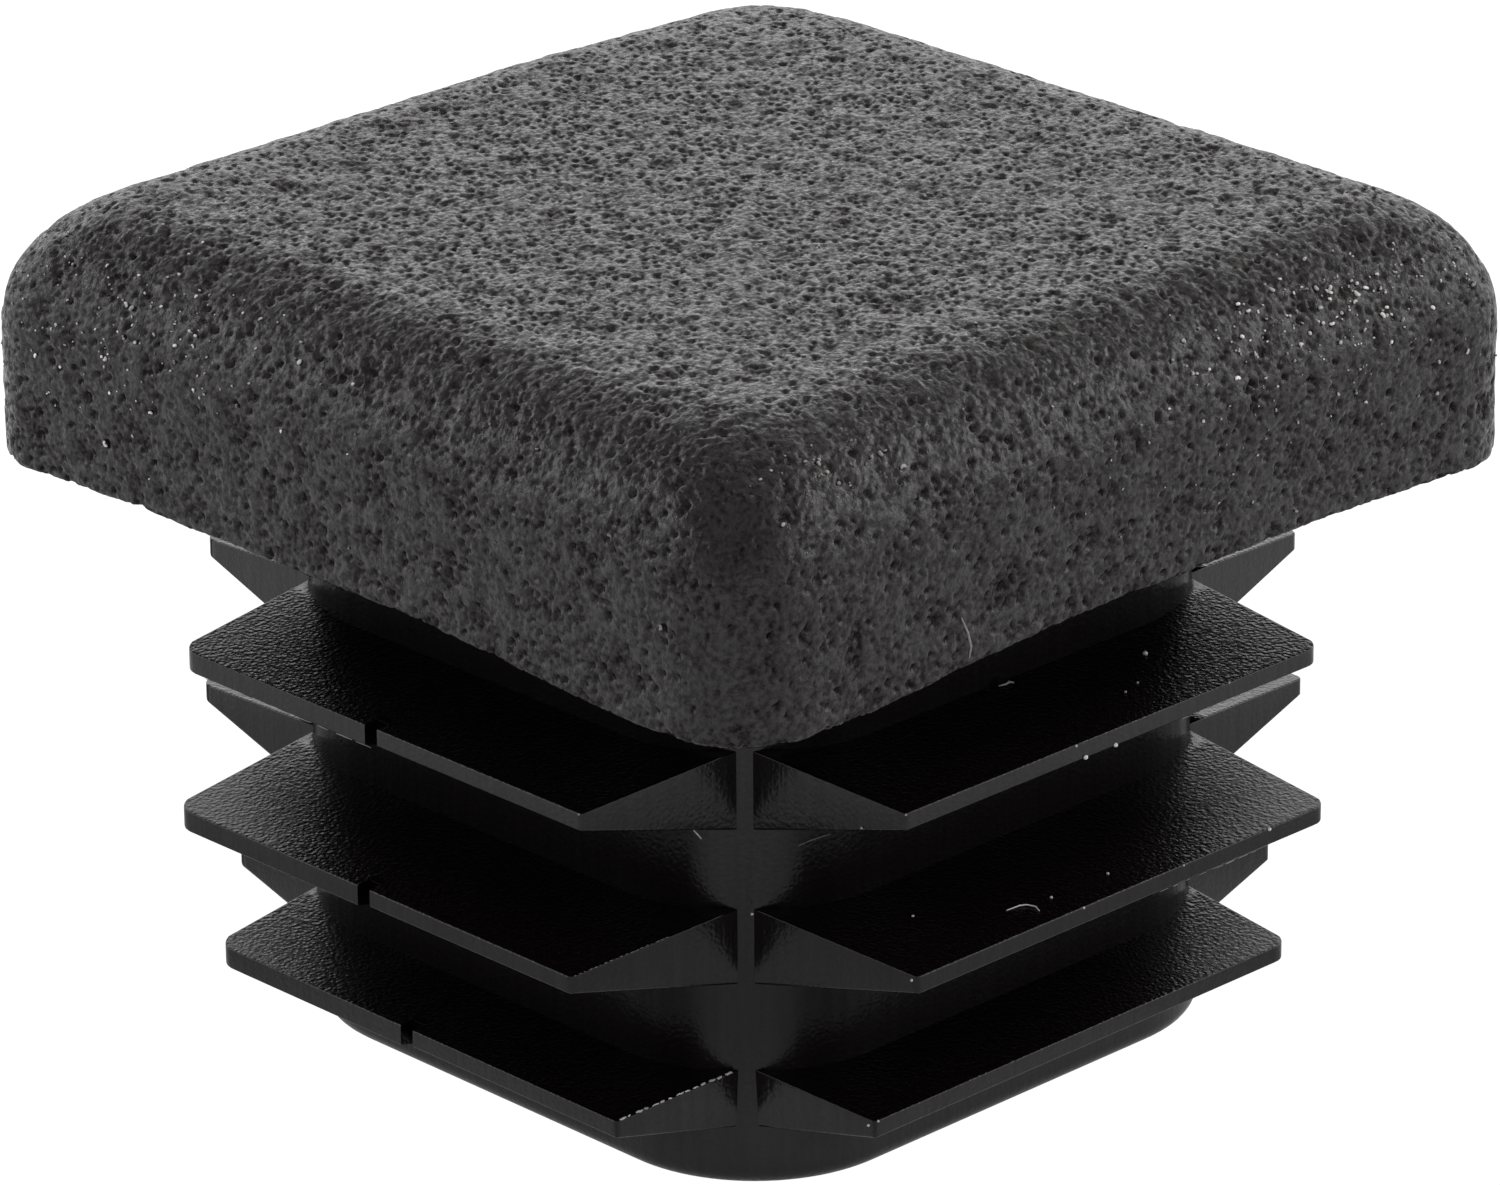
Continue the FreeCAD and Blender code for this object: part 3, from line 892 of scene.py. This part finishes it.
def fin(row, side, stations, slopes):
    """Places, triangles and depths of one part of a fin, made on side 0 and turned; the depths set the
    painted shade of the finish. Its two ends draw in by slopes."""
    share, shift, inset, pull, extra = stations.T
    section = fin_section(row, inset, pull, extra)
    out, height = section[..., 0], section[..., 1]
    half = FIN_ROOT_HALF - np.where(share < 0, *slopes)[:, None] * (out - FIN_ROOT_DEPTH)
    along = share[:, None] * half + shift[:, None]
    turn = side * math.pi / 2
    x = along * math.cos(turn) + out * math.sin(turn)
    y = along * math.sin(turn) - out * math.cos(turn)
    points = np.stack([x, y, height], axis=-1)
    quads, caps = tube_faces(*out.shape)
    ends = [points[0].mean(axis=0), points[-1].mean(axis=0)]
    points = np.concatenate([points.reshape(-1, 3), ends])
    # painted shade: strong near the root at mid side, and on the core's tip edge at the inner end of the
    # slot
    mid_side = np.clip((6.6 - np.abs(along)) / 3.0, 0.0, 1.0)
    deep = np.clip((row["reach"] - out) / 2.0, 0.0, 1.0) * mid_side
    deep += 2.0 * (pull[:, None] >= SLOT_DEPTH) * (out > row["reach"] - SLOT_DEPTH - 0.10)
    return points, outward(points, np.concatenate([as_triangles(quads), caps])), np.append(deep, [0.0, 0.0])


def fin_row(name, row):
    """The four fins of one level in one piece; the sides that face -X and +X have a slot."""
    places, triangles, normals, depths = [], [], [], []
    for side, slot_at in enumerate((0.0, SLOT_AT, 0.0, -SLOT_AT)):
        for stations in fin_parts(slot_at, *TIP_ROUNDS[side]):
            points, faces, deep = fin(row, side, stations, FIN_END_SLOPES[side])
            triangles.append(faces + sum(len(part) for part in places))
            places.append(points)
            normals.append(area_normals(points, faces))
            depths.append(deep)
    places, triangles, normals, depths = map(np.concatenate, (places, triangles, normals, depths))
    add_piece(name, places, NO_QUADS, triangles, normals, smooth, depths)


for level, row in FIN_ROWS.items():
    fin_row("fins_" + level, row)

# %% [markdown]
# ## Dust, lint, flash and painted highlights
# The real plug isn't clean. A few crumbs and hairs lie on it, and one end edge has torn flash that
# glitters. Pale hair-thin lines along some lower tip edges are painted highlights, for the white card that
# those edges mirror. Each mark is a little tube along a line, on the surface where it shows on the real
# plug, and all of them are one piece. Bright crescents in the pits of the shoulders are such tubes too:
# painted glints, where the pits would mirror the lamps. The depth attribute of the piece holds how pale
# each mark is.


# %% One tube
def tube(line, radius, paleness):
    """Six-sided tube along a line of places, thinner at both ends and closed there."""
    line = np.array(line, dtype=float)
    ahead = unit(np.gradient(line, axis=0))
    first = unit(np.cross(ahead, (0.31, 0.52, 0.79)))
    second = np.cross(ahead, first)
    angle = np.arange(6) * math.pi / 3
    taper = radius * np.sqrt(1.0 - np.linspace(-0.93, 0.93, len(line)) ** 6)
    across, up = np.cos(angle)[None, :, None], np.sin(angle)[None, :, None]
    ring = first[:, None] * across + second[:, None] * up
    rings = (line[:, None] + taper[:, None, None] * ring).reshape(-1, 3)
    points = np.concatenate([rings, line[[0, -1]]])
    quads, caps = tube_faces(len(line), 6)
    faces = outward(points, np.concatenate([as_triangles(quads), caps]))
    return points, faces, np.full(len(points), paleness)


def crumb(place, radius, paleness):
    """A round crumb: a tube as long as it is thick."""
    steps = np.linspace(-0.8, 0.8, 5)[:, None] * np.array([radius, 0.3 * radius, 0.2 * radius])
    return tube(np.array(place) + steps, radius, paleness)


def dashes(start, stop, count, radius, paleness, chance):
    """Broken line from start to stop: short tubes of uneven length, thickness and paleness."""
    start, stop = np.array(start), np.array(stop)
    found = []
    for part in range(count):
        length, thick, pale = chance.uniform((0.25, 0.5, 0.4), (0.9, 1.0, 1.0))
        steps = (part + np.linspace(0.0, length, 4)[:, None]) / count
        wave = chance.uniform(-0.3, 0.3, (4, 1)) * radius
        found.append(tube(start + (stop - start) * steps + wave, radius * thick, paleness * pale))
    return found


def glint(place, facing, radius, paleness, chance):
    """A painted glint: a pale crescent on the floor of a pit, where the pit would mirror a lamp, made as a
    short bow across a random direction.
    """
    across = unit(np.cross(facing, chance.normal(size=3)))
    turn = (np.linspace(-0.8, 0.8, 5) * chance.uniform(0.3, 1.5))[:, None]
    bow = 1.8 * radius * (np.sin(turn) * across + (1.0 - np.cos(turn)) * np.cross(facing, across))
    return tube(place + bow + facing * 0.7 * radius, radius, paleness)


# %% [markdown]
# ## Dust grey and painted highlights
# Lint and crumbs are dull, freshly torn flash is pale, the painted glints are nearly white and the painted
# edge highlights are pale grey. One finish serves them all, because each mark stores its own paleness in
# the mesh.


# %% Finish of the marks
def lint_and_highlight_finish():
    """Dull grey to nearly white, by the paleness that each mark carries."""
    lint_and_highlight_paint = bpy.data.materials.new("lint_flash_and_painted_highlights")
    nodes = Nodes(lint_and_highlight_paint)
    pale = nodes.add("ShaderNodeAttribute", {"attribute_name": "depth"}, output="Fac")
    # the pale end of the mix also colours the painted glints and the painted edge highlights
    tones = {0: pale, 6: (0.01, 0.008, 0.008, 1.0), 7: (0.95, 0.93, 0.90, 1.0)}
    tone = nodes.add("ShaderNodeMix", {"data_type": "RGBA"}, tones, output=2)
    skin = nodes.add("ShaderNodeBsdfPrincipled", values={"Base Color": tone, "Roughness": 0.45})
    nodes.show("ShaderNodeOutputMaterial", skin)
    return lint_and_highlight_paint


# %% All marks
chance = np.random.default_rng(5)
marks = [
    tube([(-8.22, -6.65, 8.80), (-8.22, -6.78, 8.74), (-8.22, -6.90, 8.67)], 0.015, 0.70),
    tube([
        (-6.60, -8.21, 8.40), (-6.20, -8.21, 8.41), (-5.80, -8.21, 8.39), (-5.60, -8.21, 8.37),
    ], 0.012, 0.14),
    tube([
        (-2.70, -10.75, 6.43), (-2.35, -10.80, 6.45), (-2.20, -10.88, 6.45),
        (-2.10, -11.05, 6.43), (-2.18, -11.25, 6.41),
    ], 0.018, 0.70),
    tube([
        (-0.50, -8.35, 10.38), (-0.33, -8.42, 10.40), (-0.22, -8.38, 10.40), (-0.12, -8.45, 10.38),
    ], 0.030, 0.25),
    tube([
        (-5.90, -12.46, 14.80), (-5.70, -12.46, 14.40), (-5.60, -12.46, 14.05), (-5.65, -12.46, 13.80),
    ], 0.030, 0.22),
    tube([
        (4.20, -7.70, 6.68), (4.00, -7.75, 6.68), (3.60, -7.95, 6.67), (3.50, -8.00, 6.66),
    ], 0.030, 0.06),
]
for place, radius, paleness in (
    ((3.25, -9.25, 10.31), 0.055, 0.60),
    ((2.05, -10.15, 10.23), 0.030, 0.35),
    ((1.50, -10.30, 10.22), 0.030, 0.35),
    ((0.10, -7.80, 10.40), 0.060, 0.12),
    ((4.95, -10.75, 10.16), 0.030, 0.30),
    ((-0.90, -11.38, 9.72), 0.055, 0.75),
    ((0.05, -11.38, 9.72), 0.050, 0.75),
    ((-1.20, -11.38, 10.08), 0.030, 0.50),
    ((3.70, -11.37, 10.10), 0.030, 0.30),
    ((-1.50, -10.95, 6.42), 0.035, 0.55),
    ((0.30, -10.95, 6.42), 0.035, 0.50),
    ((-1.25, -11.70, 6.33), 0.030, 0.60),
    ((-4.50, -9.65, 6.52), 0.032, 0.55),
    ((1.95, -11.70, 6.33), 0.025, 0.45),
    ((4.75, -11.70, 6.33), 0.045, 0.70),
    ((-11.37, -6.40, 10.08), 0.026, 0.20),
    ((-6.45, -11.37, 10.08), 0.025, 0.30),
    ((-6.62, -10.20, 9.46), 0.028, 0.40),
    ((-7.20, -7.40, 6.72), 0.030, 0.55),
    ((-6.75, -10.52, 2.53), 0.030, 0.55),
    ((-6.45, -10.52, 2.53), 0.030, 0.50),
    ((-6.60, -11.69, 6.34), 0.030, 0.50),
):
    marks.append(crumb(place, radius, paleness))
marks += dashes((-10.42, -6.54, 2.57), (-7.35, -6.93, 2.82), 14, 0.030, 0.70, chance)
marks += dashes((-11.60, -6.41, 6.35), (-9.00, -6.72, 6.56), 19, 0.011, 0.30, chance)
# painted highlights: pale broken lines along lower tip edges, for the white card that those edges mirror
marks += dashes((-11.36, 5.80, 9.60), (-11.36, 0.15, 9.60), 9, 0.014, 0.30, chance)
marks += dashes((2.20, -11.36, 9.68), (5.60, -11.36, 9.68), 8, 0.014, 0.25, chance)
marks += dashes((1.20, -11.69, 5.93), (4.60, -11.69, 5.93), 8, 0.014, 0.25, chance)
# painted glints: pale crescents strewn on the shoulders, where the pits would mirror the lamps
for side, walk, level, spread, count, paleness in (
    (0, 0.75, FLAT + 0.60 * QUARTER, (0.11, 0.50), 130, 1.00),
    (0, 0.72, FLAT + 0.95 * QUARTER, (0.14, 1.00), 90, 0.60),
    (0, 0.09, FLAT + 0.50 * QUARTER, (0.05, 0.45), 30, 0.45),
    (3, 0.19, FLAT + 0.75 * QUARTER, (0.10, 1.10), 150, 1.00),
    (3, 0.55, FLAT + 0.80 * QUARTER, (0.25, 1.20), 14, 0.30),
    (0, 0.45, FLAT * 0.75, (0.30, 1.60), 20, 0.45),
):
    walks_found = np.clip(chance.normal(walk, spread[0], count), 0.01, 0.99)
    levels_found = chance.normal(level, spread[1], count)
    found, facings, _ = head_skin(levels_found, np.full(count, side), walks_found)
    for place, facing in zip(found, facings):
        radius = 0.018 + 0.026 * chance.random() ** 3
        marks.append(glint(place, facing, radius, paleness * chance.uniform(0.35, 1.0), chance))
print("marks made:", len(marks))

# %% All marks as one piece
sizes = [0] + [len(points) for points, _, _ in marks]
mark_points, mark_faces, mark_shades = zip(*marks)
mark_faces = [faces + offset for faces, offset in zip(mark_faces, np.cumsum(sizes))]
mark_points, mark_faces = np.concatenate(mark_points), np.concatenate(mark_faces)
# no mark stands outside the box of the CAD model
mark_points = np.clip(mark_points, (-12.49, -12.49, 0.01), (12.49, 12.49, 19.69))
mark_normals = area_normals(mark_points, mark_faces)
paleness = np.concatenate(mark_shades)
add_piece("lint_flash_and_painted_highlights", mark_points, NO_QUADS, mark_faces, mark_normals, lint_and_highlight_finish(), paleness)
